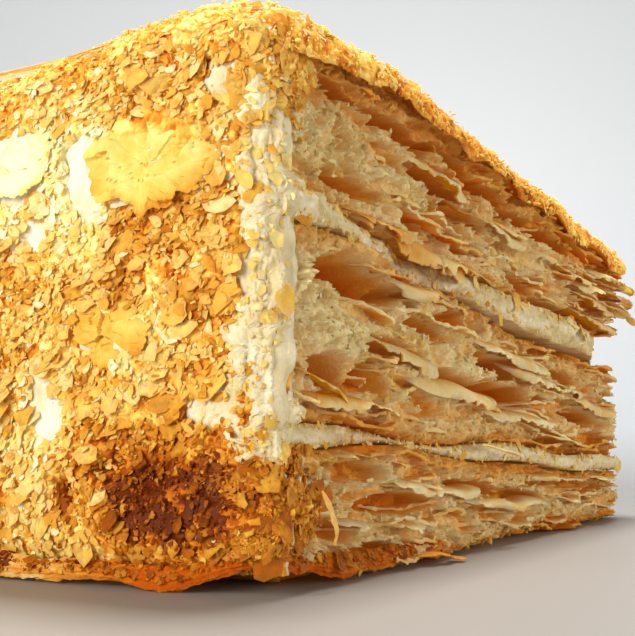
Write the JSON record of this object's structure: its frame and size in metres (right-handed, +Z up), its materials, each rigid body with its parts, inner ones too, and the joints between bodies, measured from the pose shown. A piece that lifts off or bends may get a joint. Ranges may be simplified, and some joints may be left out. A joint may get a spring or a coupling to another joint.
{
  "type": "mille feuille slice",
  "caption": "Slice of layered puff pastry and cream, flat underneath, with two cut faces, one end coated in cream and flakes, and a flaky top.",
  "frame": {"origin": "middle of the flat underside, between the two cut faces", "axes": "+X along the slice from the coated end to the bare end, +Y across it from one cut face to the other, +Z up"},
  "size_m": [0.1241, 0.0625, 0.0612],
  "materials": {
    "baked_pastry": "matt",
    "flaky_crust": "matt",
    "cream": "satin",
    "pale_flake": "matt"
  },
  "bodies": {
    "root": {"pastry_bottom": "baked_pastry", "cream_lower": "cream", "pastry_middle": "baked_pastry", "cream_upper": "cream", "pastry_top": "flaky_crust", "end_coat": "flaky_crust", "large_flake_1": "pale_flake", "large_flake_2": "pale_flake", "large_flake_3": "pale_flake"}
  },
  "joints": []
}
